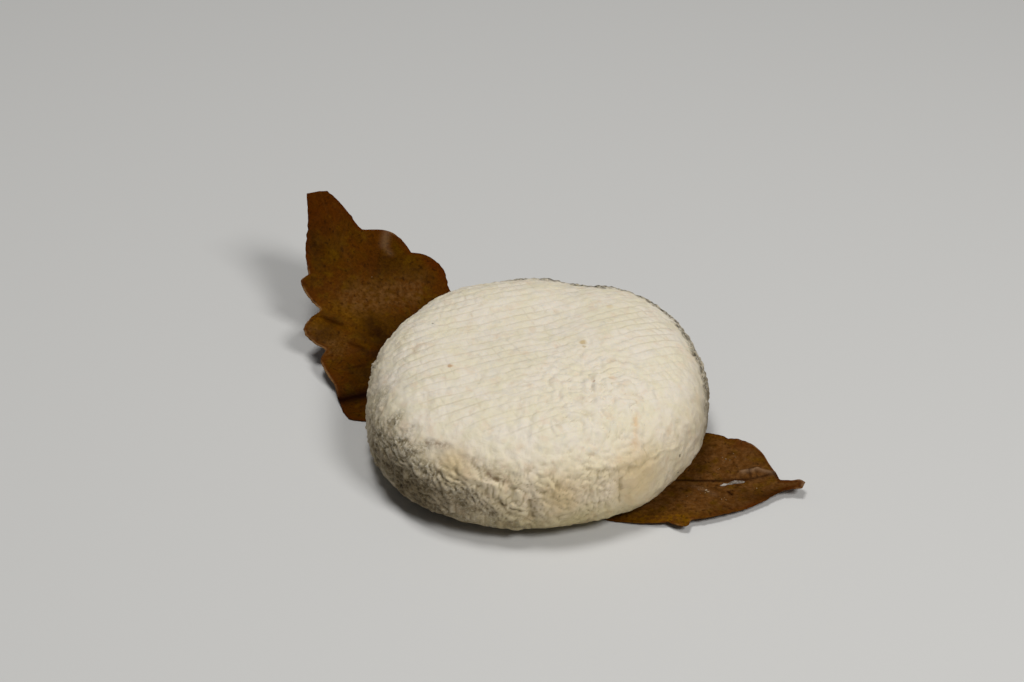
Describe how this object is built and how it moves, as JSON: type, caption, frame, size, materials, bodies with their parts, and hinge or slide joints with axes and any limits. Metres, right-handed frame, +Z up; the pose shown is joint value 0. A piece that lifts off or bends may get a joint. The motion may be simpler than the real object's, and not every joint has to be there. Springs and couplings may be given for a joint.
{
  "type": "goat cheese on leaf",
  "caption": "Small round soft-ripened goat cheese with a wrinkled cream rind, lying on a dried brown leaf that curls up behind it.",
  "frame": {"origin": "on the flat underside of the leaf, where the axis of the round cheese meets the surface that it all stands on", "axes": "+Z up; +X towards the leaf's pointed stalk end; +Y towards the back, where the leaf's toothed end curls up at -X"},
  "size_m": [0.1454, 0.1322, 0.0381],
  "materials": {
    "rind": "matte cream rind, wrinkled, with grey-green mould",
    "dry_leaf": "dry brown leaf with a slight sheen"
  },
  "bodies": {
    "root": {"cheese": "rind", "leaf": "dry_leaf"}
  },
  "joints": []
}
